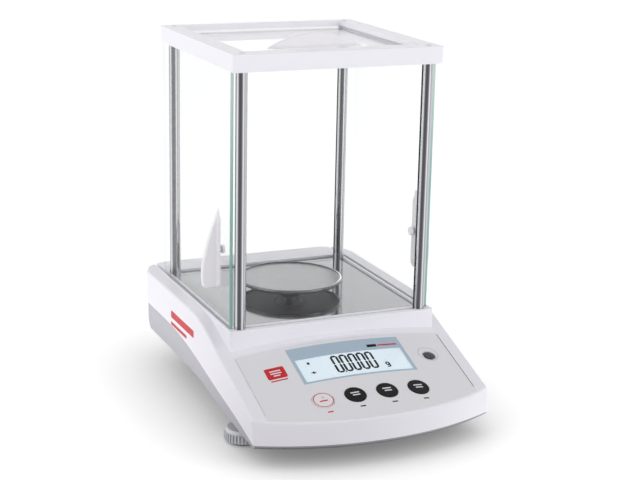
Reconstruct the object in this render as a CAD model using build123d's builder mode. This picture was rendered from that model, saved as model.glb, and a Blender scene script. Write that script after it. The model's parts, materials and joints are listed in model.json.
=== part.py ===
"""Analytical balance with a glass draft shield.

Frame: origin on the ground under the middle of the balance, +Z up, the front faces -Y.
All sizes are in millimetres.
"""
import os
from math import atan, cos, sin

from build123d import *

# ---------------------------------------------------------------- driving dimensions
HALF_WIDTH = 101.5          # housing, side to side
FRONT_Y = -158.5            # middle of the curved fascia
REAR_Y = 158.5
FASCIA_CORNER_Y = -135.0    # where the fascia arc meets the sides
FASCIA_LEAN = 0.2           # the fascia leans back as it rises
REAR_CORNER = 28.0
FRONT_CORNER = 3.0
FORM_BOTTOM = 10.0
WALL = 2.5

LEDGE_Y = -53.5             # front face of the raised platform
LEDGE_Z = 65.0              # console height there, at its edges
CONSOLE_SLOPE = 0.345
CROWN = 6.0                 # rise of the console from its edges to its middle
CROWN_HALF = 91.0
SHOULDER_Z = 81.5
SHOULDER_ARC = 122.0
SEAM_FRONT_Z = 19.0         # white housing above it, grey base below it
SEAM_REAR_Z = 52.5

PLATFORM_HALF = 91.0
PLATFORM_REAR = 149.0
PLATFORM_Z = 82.0
CAVITY_Z = 76.0

PLATE_HALF = 83.2           # polished floor plate of the chamber
PLATE_FRONT = -41.8
PLATE_REAR = 125.0
PLATE_Z = 80.2
PLATE_THICK = 1.0

POST_X = 80.0
POST_FRONT_Y = -47.3
POST_REAR_Y = 117.3
POST_RADIUS = 4.75
POST_FOOT_Z = 78.0

FRAME_HALF = 90.0           # top frame of the draft shield
FRAME_FRONT = -55.7
FRAME_REAR = 126.0
FRAME_BOTTOM = 289.0
FRAME_TOP = 303.0
FRAME_RAIL = 12.5

DOOR_INNER_X = 85.7
DOOR_THICK = 2.7
DOOR_FRONT = -45.6
DOOR_REAR = 125.0
DOOR_BOTTOM = 79.6
DOOR_TOP = 291.6
DOOR_GAP = 0.3
HANDLE_Y = -19.0
HANDLE_CAP_Z = 141.0

TOP_GLASS_HALF = 77.8
TOP_GLASS_Z = 295.5
TOP_GLASS_THICK = 3.0
TOP_GLASS_FRONT = -45.0
TOP_GLASS_REAR = 125.6

PAN_Y = 41.5
PAN_RADIUS = 45.0
PAN_TOP = 93.0

KEY_RADIUS = 8.6
KEY_Y = -127.3
KEY_FIRST_X = -41.5
KEY_PITCH = 27.4
KEY_PROUD = 0.9
OVERLAY_THICK = 0.35

FOOT_X = 89.0
FOOT_Y = -80.0
FOOT_RADIUS = 15.5
STEM_RADIUS = 4.0
REAR_FOOT_X = 58.0
REAR_FOOT_Y = 112.0
WHEEL_BOTTOM_Z = 2.0
WHEEL_THICK = 10.0
WHEEL_GROOVES = 44
BOSS_RADIUS = 7.0           # threaded bosses for the levelling screws
BOSS_Z = 19.6

RIM_RADIUS = 2.0
NECK_RADIUS = 6.0           # round valley in the console just in front of the ledge
NECK_RISE = 3.0
NECK_ARC_RADIUS = 1446.0    # the valley fades out towards the sides
BASE_INSET = 1.2
BASE_WALL = 3.0
BELLY_Z = 29.0              # underside of the base towards the rear
BASE_FLOOR_Z = BELLY_Z + BASE_WALL
BELLY_FRONT_Z = 15.5        # the same, by the front screws
CHIN_INSET = 10.0           # the base draws in under the fascia, towards its underside
CHIN_FLARE = 1.2
HOOK_HOLE_RADIUS = 10.0
COVER_PIVOT = 19.0

PANE_HALF = 77.0            # fixed front and rear glass, let into the posts
PANE_THICK = 2.6
PANE_BOTTOM = 80.9
PANE_TOP = 290.6
POST_TOP_Z = 294.0
FRAME_INNER_HALF = 75.0
FRAME_INNER_FRONT = -43.5
FRAME_INNER_REAR = 113.6
TRIM_REAR = -33.0
TRIM_HIGH = 3.6
TOP_HANDLE_Y = -3.0
TOP_HANDLE_HALF = 42.0
TOP_HANDLE_Z = 310.0
FIN_THICK = 5.0

SPINDLE_HOLE_RADIUS = 10.5
SPINDLE_RADIUS = 4.0
SPINDLE_TOP_Z = 88.8
LEVEL_RADIUS = 5.7
LEVEL_X = 68.9
LEVEL_Y = -90.3
BEZEL_X = 1.0
BEZEL_FRONT = -107.0
BEZEL_REAR = -65.5
BEZEL_HALF = 49.5
LCD_FRONT = -105.2
LCD_REAR = -78.8
LCD_HALF = 46.6
BOARD_DEPTH = 15.5
BOARD_HALF_LENGTH = 32.0
OVERLAY_HALF = 90.2
OVERLAY_REAR = -61.5
OVERLAY_EDGE = 5.0          # from the fascia's arc to the membrane's front edge
MAIN_BOARD_X = -60.0
MAIN_BOARD_Y = 52.0
COIL_Y = -4.0
CHIPS = ((-14, -20), (6, -30), (-12, 10))
POWER_X = -62.0
SERIAL_X = -28.0
PLATE_LABEL_X = 34.0
PORT_Z = 64.0

FASCIA_RADIUS = (HALF_WIDTH**2 + (FASCIA_CORNER_Y - FRONT_Y)**2) / (2 * (FASCIA_CORNER_Y - FRONT_Y))
FASCIA_CENTRE_Y = FRONT_Y + FASCIA_RADIUS
CONSOLE_ANGLE = atan(CONSOLE_SLOPE)
DOWN_SLOPE = (0, -cos(CONSOLE_ANGLE), -sin(CONSOLE_ANGLE))
OVERLAY_RADIUS = FASCIA_RADIUS - OVERLAY_EDGE
KEY_XS = [KEY_FIRST_X + KEY_PITCH * i for i in range(4)]
POSTS = [(sx * POST_X, y) for sx in (-1, 1) for y in (POST_FRONT_Y, POST_REAR_Y)]
HOUSING_SCREWS = [(sx * x, y) for sx in (-1, 1) for x, y in ((86.0, -116.0), (78.0, 121.0))]
FIN_OUTER_X = DOOR_INNER_X + DOOR_THICK
DOOR_MIDDLE_X = DOOR_INNER_X + DOOR_THICK / 2
TOP_GLASS_UPPER = TOP_GLASS_Z + TOP_GLASS_THICK

STANDING = (Align.CENTER, Align.CENTER, Align.MIN)
HANGING = (Align.CENTER, Align.CENTER, Align.MAX)

# ---------------------------------------------------------------- shared shapes
def console_z(y, x=0.0):
    """Height of the crowned console surface."""
    return LEDGE_Z + CROWN * (1 - (x / CROWN_HALF)**2) + CONSOLE_SLOPE * (y - LEDGE_Y)


def console_plane(x, y):
    """Plane on the console's middle line height, its normal square to the slope."""
    return Plane(origin=(x, y, console_z(y, x)), x_dir=(1, 0, 0),
                 z_dir=(0, -sin(CONSOLE_ANGLE), cos(CONSOLE_ANGLE)))


def keep_behind_fascia(inset):
    """Trims the solid being built to the leaning, curved fascia."""
    with Locations((0, FASCIA_CENTRE_Y, 0)):
        Cone(FASCIA_RADIUS + SEAM_FRONT_Z * FASCIA_LEAN - inset,
             FASCIA_RADIUS + (SEAM_FRONT_Z - 120) * FASCIA_LEAN - inset, 120,
             align=STANDING, mode=Mode.INTERSECT)


def crown_form(offset):
    """Lens of material that crowns the console, raised by offset."""
    with BuildPart() as form:
        with BuildSketch(Plane.XZ.offset(-LEDGE_Y)):
            with BuildLine():
                ThreePointArc((-CROWN_HALF, LEDGE_Z + offset), (0, LEDGE_Z + CROWN + offset),
                              (CROWN_HALF, LEDGE_Z + offset))
                Polyline((CROWN_HALF, LEDGE_Z + offset), (CROWN_HALF, LEDGE_Z - 6),
                         (-CROWN_HALF, LEDGE_Z - 6), (-CROWN_HALF, LEDGE_Z + offset))
            make_face()
        extrude(amount=118, dir=DOWN_SLOPE)
    return form.part


def body_form(inset, rim_radius=0.0):
    """The whole body under its shoulder line and console crown, drawn in by inset."""
    top = SHOULDER_Z - inset
    arc_start_y = LEDGE_Y + (SHOULDER_Z - LEDGE_Z - SHOULDER_ARC * (1 - cos(CONSOLE_ANGLE))) / CONSOLE_SLOPE
    arc_start_z = console_z(arc_start_y, CROWN_HALF) - inset
    arc_end_y = arc_start_y + SHOULDER_ARC * sin(CONSOLE_ANGLE)
    front_y = FRONT_Y - 5
    front_z = console_z(front_y, CROWN_HALF) - inset
    half = HALF_WIDTH - inset
    rear = REAR_Y - inset
    with BuildPart() as form:
        with BuildSketch(Plane.YZ):
            with BuildLine():
                Polyline((arc_start_y, arc_start_z), (front_y, front_z), (front_y, FORM_BOTTOM),
                         (rear, FORM_BOTTOM), (rear, top), (arc_end_y, top))
                TangentArc((arc_end_y, top), (arc_start_y, arc_start_z), tangent=(-1, 0))
            make_face()
        extrude(amount=half, both=True)
        keep_behind_fascia(inset)
        fillet(form.edges().filter_by(Axis.Z).filter_by(lambda e: e.center().Y > rear - 1),
               REAR_CORNER - inset)
        fillet(form.edges().filter_by(lambda e: e.center().Y < FASCIA_CORNER_Y + 8
                                      and abs(e.tangent_at(0.5).Z) > 0.9), FRONT_CORNER)
        if rim_radius:
            top_faces = form.faces().filter_by(lambda f: f.normal_at().Z > 0.8)
            fillet(top_faces.edges().filter_by(
                lambda e: len(top_faces.filter_by(lambda f: e in f.edges())) == 1), rim_radius)
    with BuildPart() as crown:
        add(crown_form(-inset))
        keep_behind_fascia(inset)
        if rim_radius:
            nose = crown.edges().sort_by(lambda e: e.position_at(0.5).Z - e.position_at(0.5).Y)
            front_top = nose.filter_by(lambda e: e.length > 100 and e.position_at(0.5).Y < -100).sort_by(
                lambda e: e.position_at(0.5).Z)[-1]
            fillet(front_top, rim_radius)
    with BuildPart() as whole:
        add(form.part)
        add(crown.part)
    return whole.part


def below_seam(gap=0.0):
    """Everything under the seam between the white housing and the grey base."""
    with BuildPart() as form:
        with BuildSketch(Plane.YZ):
            with BuildLine():
                Line((-170, SEAM_FRONT_Z - gap), (-133, SEAM_FRONT_Z - gap))
                Spline((-133, SEAM_FRONT_Z - gap), (-98, 27.0 - gap), (-50, 35.5 - gap), (0, 45.0 - gap),
                       (50, 51.3 - gap), (105, SEAM_REAR_Z - gap), tangents=((1, 0.25), (1, 0)))
                Polyline((105, SEAM_REAR_Z - gap), (170, SEAM_REAR_Z - gap), (170, -10), (-170, -10),
                         (-170, SEAM_FRONT_Z - gap))
            make_face()
        extrude(amount=120, both=True)
    return form.part


def below_belly(lift=0.0):
    """Everything under the belly of the base, which rises towards the rear."""
    with BuildPart() as form:
        with BuildSketch(Plane.YZ):
            with BuildLine():
                Line((-170, 14 + lift), (-135, 15 + lift))
                Spline((-135, 15 + lift), (-100, 17.5 + lift), (-60, 20.5 + lift), (-20, 26 + lift),
                       (30, BELLY_Z + lift), tangents=((1, 0.05), (1, 0)))
                Polyline((30, BELLY_Z + lift), (128, BELLY_Z + lift), (170, 66 + lift), (170, -20),
                         (-170, -20), (-170, 14 + lift))
            make_face()
        extrude(amount=120, both=True)
    return form.part


def console_cut(x, y, radius, depth=30.0):
    """A cylinder through the console, square to its slope."""
    return console_plane(x, y) * Cylinder(radius, depth)


def belly_at(y):
    """Height of the base's underside beside a housing screw."""
    return BELLY_FRONT_Z if y < 0 else BELLY_Z


def save(part, name):
    part.label = name
    export_step(part, f"parts/{name}.step")


os.makedirs("parts", exist_ok=True)

# ---------------------------------------------------------------- housing
lcd_plane = console_plane(BEZEL_X, (LCD_FRONT + LCD_REAR) / 2)
lcd_length = (LCD_REAR - LCD_FRONT) / cos(CONSOLE_ANGLE)
lcd_cut = lcd_plane * Box(2 * LCD_HALF, lcd_length, 20)
key_cuts = [console_cut(x, KEY_Y, KEY_RADIUS + 0.4) for x in KEY_XS]
level_cut = console_cut(LEVEL_X, LEVEL_Y, LEVEL_RADIUS + 0.1)
with BuildPart() as platform:
    with Locations((0, (LEDGE_Y + PLATFORM_REAR) / 2, LEDGE_Z - 6)):
        Box(2 * PLATFORM_HALF, PLATFORM_REAR - LEDGE_Y, PLATFORM_Z - LEDGE_Z + 6,
            align=STANDING)
    fillet(platform.edges().filter_by(Axis.Z).group_by(Axis.Y)[-1], 9.0)
    fillet(platform.edges().filter_by(Axis.Z).group_by(Axis.Y)[0], 2.0)
    fillet(platform.edges().group_by(Axis.Z)[-1], 1.0)

with BuildPart() as screw_bosses:
    with Locations([(x, y, FORM_BOTTOM) for x, y in HOUSING_SCREWS]):
        Cylinder(4.5, 100, align=STANDING)
    add(body_form(1.0), mode=Mode.INTERSECT)
    add(below_belly(BASE_WALL + 0.2), mode=Mode.SUBTRACT)

with BuildPart() as hollow:
    add(body_form(WALL))
    with Locations((0, 0, CAVITY_Z)):
        Box(300, 400, 240, align=HANGING, mode=Mode.INTERSECT)

with BuildPart() as top_housing:
    add(body_form(0.0, RIM_RADIUS))
    add(platform.part)
    with Locations((0, LEDGE_Y - NECK_RADIUS - 0.2, LEDGE_Z + CROWN + NECK_RISE - NECK_ARC_RADIUS)):
        Torus(NECK_ARC_RADIUS, NECK_RADIUS, rotation=(90, 0, 0), mode=Mode.SUBTRACT)
    add(below_seam(), mode=Mode.SUBTRACT)
    add(hollow.part, mode=Mode.SUBTRACT)
    add(screw_bosses.part)
    with Locations((0, (PLATE_FRONT + PLATE_REAR) / 2, PLATE_Z - PLATE_THICK)):
        Box(2 * PLATE_HALF + 0.6, PLATE_REAR - PLATE_FRONT + 0.6, 10,
            align=STANDING, mode=Mode.SUBTRACT)
    with Locations([(x, y, POST_FOOT_Z) for x, y in POSTS]):
        Cylinder(POST_RADIUS + 0.05, 20, align=STANDING, mode=Mode.SUBTRACT)
    with Locations([(sx * DOOR_MIDDLE_X, 60, DOOR_BOTTOM - 0.3) for sx in (-1, 1)]):
        Box(DOOR_THICK + 2 * DOOR_GAP, 2 * (60 - DOOR_FRONT + 0.6), 10,
            align=STANDING, mode=Mode.SUBTRACT)
    with Locations([(0, y, PANE_BOTTOM - 0.1) for y in (POST_FRONT_Y, POST_REAR_Y)]):
        Box(2 * PANE_HALF + 0.4, PANE_THICK + 0.4, 10,
            align=STANDING, mode=Mode.SUBTRACT)
    with Locations((0, PAN_Y, 70)):
        Cylinder(SPINDLE_HOLE_RADIUS, 30, mode=Mode.SUBTRACT)
    add(key_cuts, mode=Mode.SUBTRACT)
    add(level_cut, mode=Mode.SUBTRACT)
    add(lcd_cut, mode=Mode.SUBTRACT)
    with Locations((POWER_X, REAR_Y, PORT_Z)):
        Cylinder(5.6, 12, rotation=(90, 0, 0), mode=Mode.SUBTRACT)
    with Locations((SERIAL_X, REAR_Y, PORT_Z)):
        Box(33, 2.4, 14, mode=Mode.SUBTRACT)
        Box(25, 12, 11, mode=Mode.SUBTRACT)
    with Locations((PLATE_LABEL_X, REAR_Y, PORT_Z)):
        Box(56, 1.2, 16, mode=Mode.SUBTRACT)
    with Locations([(x, y, belly_at(y)) for x, y in HOUSING_SCREWS]):
        Cylinder(1.5, 16, align=STANDING, mode=Mode.SUBTRACT)
save(top_housing.part, "top_housing")

with BuildPart() as base_form:
    add(body_form(BASE_INSET))
    add(below_belly(), mode=Mode.SUBTRACT)
    with Locations((0, FASCIA_CENTRE_Y, FORM_BOTTOM)):
        Cone(FASCIA_RADIUS - CHIN_INSET, FASCIA_RADIUS - CHIN_INSET + 120 * CHIN_FLARE, 120,
             align=STANDING, mode=Mode.INTERSECT)

with BuildPart() as tray:
    add(body_form(BASE_INSET + BASE_WALL))
    add(below_belly(BASE_WALL), mode=Mode.SUBTRACT)

with BuildPart() as base_casting:
    add(base_form.part)
    add(below_seam(), mode=Mode.INTERSECT)
    add(tray.part, mode=Mode.SUBTRACT)
    with Locations([(sx * FOOT_X, FOOT_Y, BOSS_Z) for sx in (-1, 1)]):
        Cylinder(BOSS_RADIUS, 14, align=STANDING)
    add(base_form.part, mode=Mode.INTERSECT)
    with Locations([(sx * FOOT_X, FOOT_Y, 0) for sx in (-1, 1)]):
        Cylinder(STEM_RADIUS + 0.06, 80, mode=Mode.SUBTRACT)
    with Locations([(x, y, 0) for x, y in HOUSING_SCREWS]):
        Cylinder(1.6, 80, mode=Mode.SUBTRACT)
    with Locations((0, PAN_Y, 30)):
        Cylinder(HOOK_HOLE_RADIUS, 20, mode=Mode.SUBTRACT)
save(base_casting.part, "base_casting")

with BuildPart() as housing_screws:
    for x, y in HOUSING_SCREWS:
        belly_z = belly_at(y)
        with Locations((x, y, belly_z)):
            Cylinder(1.4, 14, align=STANDING)
            Cylinder(3.0, 1.8, align=HANGING)
        with Locations((x, y, belly_z - 1.8)):
            Box(0.8, 4.2, 0.9, align=STANDING, mode=Mode.SUBTRACT)
            Box(4.2, 0.8, 0.9, align=STANDING, mode=Mode.SUBTRACT)
save(housing_screws.part, "housing_screws")

# ---------------------------------------------------------------- chamber floor and draft shield
with BuildPart() as floor_plate:
    with BuildSketch(Plane.XY.offset(PLATE_Z - PLATE_THICK)):
        with Locations((0, (PLATE_FRONT + PLATE_REAR) / 2)):
            RectangleRounded(2 * PLATE_HALF, PLATE_REAR - PLATE_FRONT, 3.0)
        with Locations([(x, POST_REAR_Y) for x in (-POST_X, POST_X)]):
            Circle(POST_RADIUS + 0.2, mode=Mode.SUBTRACT)
        with Locations((0, PAN_Y)):
            Circle(SPINDLE_HOLE_RADIUS, mode=Mode.SUBTRACT)
    extrude(amount=PLATE_THICK)
save(floor_plate.part, "floor_plate")

with BuildPart() as draft_ring:
    with BuildSketch(Plane.XY.offset(PLATE_Z)):
        with Locations((0, PAN_Y)):
            Circle(SPINDLE_HOLE_RADIUS + 4.5)
            Circle(SPINDLE_HOLE_RADIUS, mode=Mode.SUBTRACT)
    extrude(amount=1.4)
    chamfer(draft_ring.edges().group_by(Axis.Z)[-1].sort_by(SortBy.LENGTH)[-1], 0.8)
save(draft_ring.part, "draft_ring")

for side, sx in (("left", -1), ("right", 1)):
    for end, y, inward in (("front", POST_FRONT_Y, 1), ("rear", POST_REAR_Y, -1)):
        with BuildPart() as post:
            with Locations((sx * POST_X, y, POST_FOOT_Z)):
                Cylinder(POST_RADIUS, POST_TOP_Z - POST_FOOT_Z, align=STANDING)
            chamfer(post.edges().filter_by(GeomType.CIRCLE), 0.4)
            with Locations((sx * (PANE_HALF + 0.1 - 5), y, (FRAME_BOTTOM + POST_FOOT_Z) / 2)):
                Box(10, PANE_THICK + 0.2, 260, mode=Mode.SUBTRACT)
            with Locations((sx * POST_X, y, POST_TOP_Z)):
                Cylinder(1.45, 20, mode=Mode.SUBTRACT)
        save(post.part, f"{end}_{side}_post")

for end, y in (("front", POST_FRONT_Y), ("rear", POST_REAR_Y)):
    with BuildPart() as pane:
        with Locations((0, y, PANE_BOTTOM)):
            Box(2 * PANE_HALF, PANE_THICK, PANE_TOP - PANE_BOTTOM,
                align=STANDING)
        chamfer(pane.edges(), 0.3)
    save(pane.part, f"{end}_glass")

with BuildPart() as top_frame:
    with Locations((0, (FRAME_FRONT + FRAME_REAR) / 2, FRAME_BOTTOM)):
        Box(2 * FRAME_HALF, FRAME_REAR - FRAME_FRONT, FRAME_TOP - FRAME_BOTTOM,
            align=STANDING)
    fillet(top_frame.edges().filter_by(Axis.Z), 2.5)
    fillet(top_frame.edges().group_by(Axis.Z)[-1], 0.8)
    with Locations((0, (FRAME_INNER_FRONT + FRAME_INNER_REAR) / 2, FRAME_BOTTOM)):
        Box(2 * FRAME_INNER_HALF, FRAME_INNER_REAR - FRAME_INNER_FRONT, 40, mode=Mode.SUBTRACT)
    with Locations((0, TOP_GLASS_FRONT - 0.4, TOP_GLASS_Z - 0.3)):
        Box(2 * TOP_GLASS_HALF + 0.8, 200, TOP_GLASS_THICK + 0.6,
            align=(Align.CENTER, Align.MIN, Align.MIN), mode=Mode.SUBTRACT)
    with Locations([(sx * DOOR_MIDDLE_X, DOOR_FRONT - 0.6, 280) for sx in (-1, 1)]):
        Box(DOOR_THICK + 2 * DOOR_GAP, 200, DOOR_TOP + 0.4 - 280,
            align=(Align.CENTER, Align.MIN, Align.MIN), mode=Mode.SUBTRACT)
    with Locations([(0, y, 280) for y in (POST_FRONT_Y, POST_REAR_Y)]):
        Box(2 * PANE_HALF + 0.4, PANE_THICK + 0.4, PANE_TOP + 0.1 - 280,
            align=STANDING, mode=Mode.SUBTRACT)
    with Locations([(x, y, 280) for x, y in POSTS]):
        Cylinder(POST_RADIUS + 0.05, POST_TOP_Z - 280, align=STANDING,
                 mode=Mode.SUBTRACT)
    with Locations([(x, y, FRAME_TOP) for x, y in POSTS]):
        Cylinder(1.45, 30, mode=Mode.SUBTRACT)
        Cylinder(2.9, 4.0, mode=Mode.SUBTRACT)
save(top_frame.part, "top_frame")

with BuildPart() as frame_screws:
    with Locations([(x, y, FRAME_TOP - 2) for x, y in POSTS]):
        Cylinder(2.6, 1.4, align=STANDING)
        Cylinder(1.4, 16, align=HANGING)
    with Locations([(x, y, FRAME_TOP - 0.6) for x, y in POSTS]):
        Cylinder(1.3, 1.4, mode=Mode.SUBTRACT)
save(frame_screws.part, "frame_screws")

# ---------------------------------------------------------------- sliding doors
for side, mirror_x in (("left", -1), ("right", 1)):
    with BuildPart() as door_glass:
        with Locations((mirror_x * DOOR_MIDDLE_X, (DOOR_FRONT + DOOR_REAR) / 2, DOOR_BOTTOM)):
            Box(DOOR_THICK, DOOR_REAR - DOOR_FRONT, DOOR_TOP - DOOR_BOTTOM,
                align=STANDING)
        chamfer(door_glass.edges(), 0.3)
        with Locations((mirror_x * FIN_OUTER_X, HANDLE_Y, HANDLE_CAP_Z)):
            Cylinder(1.8, 20, rotation=(0, 90, 0), mode=Mode.SUBTRACT)
    save(door_glass.part, f"{side}_door_glass")
    with BuildPart() as fin:
        with BuildSketch(Plane.XZ.offset(-HANDLE_Y)):
            with BuildLine():
                Line((FIN_OUTER_X, 176.5), (FIN_OUTER_X, 109.5))
                Line((FIN_OUTER_X, 109.5), (FIN_OUTER_X + 9, 109.5))
                Spline((FIN_OUTER_X + 9, 109.5), (FIN_OUTER_X + 14.1, 116.5), (FIN_OUTER_X + 12.2, 138),
                       (FIN_OUTER_X + 7.2, 157), (FIN_OUTER_X, 176.5),
                       tangents=((1, 0), (-0.36, 1)))
            make_face()
        extrude(amount=FIN_THICK / 2, both=True)
        fillet(fin.edges().filter_by(lambda e: e.geom_type == GeomType.BSPLINE), 1.6)
        with BuildSketch(Plane.YZ.offset(FIN_OUTER_X)):
            with Locations((HANDLE_Y, HANDLE_CAP_Z - 1)):
                SlotOverall(62, 11, rotation=90)
        extrude(amount=1.8)
        with Locations((FIN_OUTER_X, HANDLE_Y, HANDLE_CAP_Z)):
            Cylinder(1.3, 14, rotation=(0, 90, 0), mode=Mode.SUBTRACT)
        if mirror_x < 0:
            mirror(about=Plane.YZ, mode=Mode.REPLACE)
    save(fin.part, f"{side}_door_handle")
    with BuildPart() as cap:
        with Locations((DOOR_INNER_X, HANDLE_Y, HANDLE_CAP_Z)):
            Cylinder(3.6, 2.2, rotation=(0, 90, 0), align=HANGING)
        fillet(cap.edges().group_by(Axis.X)[0], 0.8)
        with Locations((DOOR_INNER_X, HANDLE_Y, HANDLE_CAP_Z)):
            Cylinder(1.2, 6, rotation=(0, 90, 0), align=STANDING)
        if mirror_x < 0:
            mirror(about=Plane.YZ, mode=Mode.REPLACE)
    save(cap.part, f"{side}_handle_screw")

with BuildPart() as top_door_glass:
    with Locations((0, (TOP_GLASS_FRONT + TOP_GLASS_REAR) / 2, TOP_GLASS_Z)):
        Box(2 * TOP_GLASS_HALF, TOP_GLASS_REAR - TOP_GLASS_FRONT, TOP_GLASS_THICK,
            align=STANDING)
    chamfer(top_door_glass.edges(), 0.3)
save(top_door_glass.part, "top_door_glass")

with BuildPart() as top_door_handle:
    with BuildSketch(Plane.XZ.offset(-TOP_HANDLE_Y)):
        with BuildLine():
            ThreePointArc((-TOP_HANDLE_HALF, TOP_GLASS_UPPER), (0, TOP_HANDLE_Z),
                          (TOP_HANDLE_HALF, TOP_GLASS_UPPER))
            Line((TOP_HANDLE_HALF, TOP_GLASS_UPPER), (-TOP_HANDLE_HALF, TOP_GLASS_UPPER))
        make_face()
    extrude(amount=FIN_THICK / 2, both=True)
    fillet(top_door_handle.edges().filter_by(GeomType.CIRCLE), 1.6)
    with BuildSketch(Plane.XY.offset(TOP_GLASS_UPPER)):
        with Locations((0, TOP_HANDLE_Y)):
            SlotOverall(76, 11)
    extrude(amount=1.6)
save(top_door_handle.part, "top_door_handle")

with BuildPart() as top_door_trim:
    with BuildSketch(Plane.YZ):
        with Locations(((FRAME_INNER_FRONT + 0.6 + TRIM_REAR) / 2, TOP_GLASS_UPPER + TRIM_HIGH / 2)):
            RectangleRounded(TRIM_REAR - FRAME_INNER_FRONT - 0.6, TRIM_HIGH, 0.7)
    extrude(amount=FRAME_INNER_HALF - 0.6, both=True)
save(top_door_trim.part, "top_door_trim")

# ---------------------------------------------------------------- console
def overlay_film():
    """Membrane that follows the crowned console."""
    with BuildPart() as film:
        add(crown_form(OVERLAY_THICK))
        add(crown_form(0.0), mode=Mode.SUBTRACT)
        with Locations((0, OVERLAY_REAR, 0)):
            Box(2 * OVERLAY_HALF, 140, 300, align=(Align.CENTER, Align.MAX, Align.CENTER),
                mode=Mode.INTERSECT)
        with Locations((0, FASCIA_CENTRE_Y, 0)):
            Cylinder(OVERLAY_RADIUS, 300, mode=Mode.INTERSECT)
    return film.part


def film_cutter(centre_y, half_width, depth):
    """Upright block that cuts a rectangle out of the membrane."""
    return Pos(BEZEL_X, centre_y, 50) * Box(2 * half_width, depth, 120)


bezel_cutter = film_cutter((BEZEL_FRONT + BEZEL_REAR) / 2, BEZEL_HALF, BEZEL_REAR - BEZEL_FRONT)
window_cutter = film_cutter((LCD_FRONT + LCD_REAR) / 2, LCD_HALF, LCD_REAR - LCD_FRONT)
with BuildPart() as console_overlay:
    add(overlay_film())
    add([bezel_cutter, level_cut, *key_cuts], mode=Mode.SUBTRACT)
save(console_overlay.part, "console_overlay")

with BuildPart() as display_bezel:
    add(overlay_film())
    add(bezel_cutter, mode=Mode.INTERSECT)
    add(window_cutter, mode=Mode.SUBTRACT)
save(display_bezel.part, "display_bezel")

with BuildPart() as display_window:
    add(overlay_film())
    add(window_cutter, mode=Mode.INTERSECT)
save(display_window.part, "display_window")

with BuildPart() as lcd_module:
    with BuildSketch(lcd_plane.offset(-10.0)):
        Rectangle(104, lcd_length + 6)
    extrude(amount=4.0)
    with BuildSketch(lcd_plane.offset(-6.0)):
        Rectangle(2 * LCD_HALF - 0.8, lcd_length - 1.6)
    extrude(amount=3.8)
save(lcd_module.part, "lcd_module")

board_plane = console_plane(0, -103).offset(-BOARD_DEPTH)
with BuildPart() as display_board:
    with BuildSketch(board_plane):
        Rectangle(160, 2 * BOARD_HALF_LENGTH)
    extrude(amount=-1.6)
save(display_board.part, "display_board")

for name, x in zip(("on_key", "print_key", "function_key", "tare_key"), KEY_XS):
    plane = console_plane(x, KEY_Y)
    with BuildPart() as key:
        with BuildSketch(plane.offset(-4.6)):
            Circle(KEY_RADIUS)
        extrude(amount=12)
        add(crown_form(KEY_PROUD), mode=Mode.INTERSECT)
        fillet(key.edges().group_by(lambda e: plane.to_local_coords(e.center()).Z)[-1], 0.35)
        with BuildSketch(plane.offset(-6.4)):
            Circle(KEY_RADIUS + 1.4)
        extrude(amount=1.8)
    save(key.part, name)

with BuildPart() as key_domes:
    for x in KEY_XS:
        surface_drop = CROWN * (x / CROWN_HALF)**2 * cos(CONSOLE_ANGLE)
        with BuildSketch(console_plane(x, KEY_Y).offset(surface_drop - BOARD_DEPTH)):
            Circle(4.5)
        extrude(amount=BOARD_DEPTH - surface_drop - 7.6, taper=14)
save(key_domes.part, "key_domes")

level_plane = console_plane(LEVEL_X, LEVEL_Y)
with BuildPart() as level_vial:
    with BuildSketch(level_plane.offset(-9.0)):
        Circle(LEVEL_RADIUS)
    extrude(amount=8.2)
save(level_vial.part, "level_vial")
with BuildPart() as level_cup:
    with BuildSketch(level_plane.offset(-11.0)):
        Circle(LEVEL_RADIUS + 2.2)
    extrude(amount=7.0)
    with BuildSketch(level_plane.offset(-9.0)):
        Circle(LEVEL_RADIUS)
    extrude(amount=6.0, mode=Mode.SUBTRACT)
save(level_cup.part, "level_cup")

# ---------------------------------------------------------------- weighing mechanism and electronics
with BuildPart() as cell_mount:
    with Locations((0, 112, BASE_FLOOR_Z)):
        Box(38, 18, 14, align=STANDING)
save(cell_mount.part, "cell_mount")

with BuildPart() as load_cell:
    with Locations((0, 85.5, BASE_FLOOR_Z + 14)):
        Box(32, 71, 24, align=STANDING)
    with Locations((0, 81, BASE_FLOOR_Z + 14)):
        with Locations((0, 0, 5), (0, 0, 19)):
            Box(40, 44, 1.6, mode=Mode.SUBTRACT)
        with Locations([(0, dy, z) for dy in (-22, 22) for z in (5, 19)]):
            Cylinder(2.6, 40, rotation=(0, 90, 0), mode=Mode.SUBTRACT)
        with Locations((0, 0, 12)):
            Box(40, 28, 7, mode=Mode.SUBTRACT)
save(load_cell.part, "load_cell")

with BuildPart() as pan_carrier:
    with Locations((0, 33.5, BASE_FLOOR_Z + 24)):
        Box(28, 33, 8, align=STANDING)
    with Locations((0, PAN_Y, BASE_FLOOR_Z + 32)):
        Cone(8, SPINDLE_RADIUS, 12, align=STANDING)
        Cylinder(SPINDLE_RADIUS, SPINDLE_TOP_Z - BASE_FLOOR_Z - 32,
                 align=STANDING)
save(pan_carrier.part, "pan_carrier")

with BuildPart() as magnet_pot:
    with Locations((0, COIL_Y, BASE_FLOOR_Z)):
        Cylinder(17, 20, align=STANDING)
    with BuildSketch(Plane.XY.offset(BASE_FLOOR_Z + 7)):
        with Locations((0, COIL_Y)):
            Circle(12.5)
            Circle(8.0, mode=Mode.SUBTRACT)
    extrude(amount=20, mode=Mode.SUBTRACT)
save(magnet_pot.part, "magnet_pot")

with BuildPart() as drive_coil:
    with BuildSketch(Plane.XY.offset(BASE_FLOOR_Z + 11)):
        with Locations((0, COIL_Y)):
            Circle(11.4)
            Circle(9.2, mode=Mode.SUBTRACT)
    extrude(amount=13)
save(drive_coil.part, "drive_coil")

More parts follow.
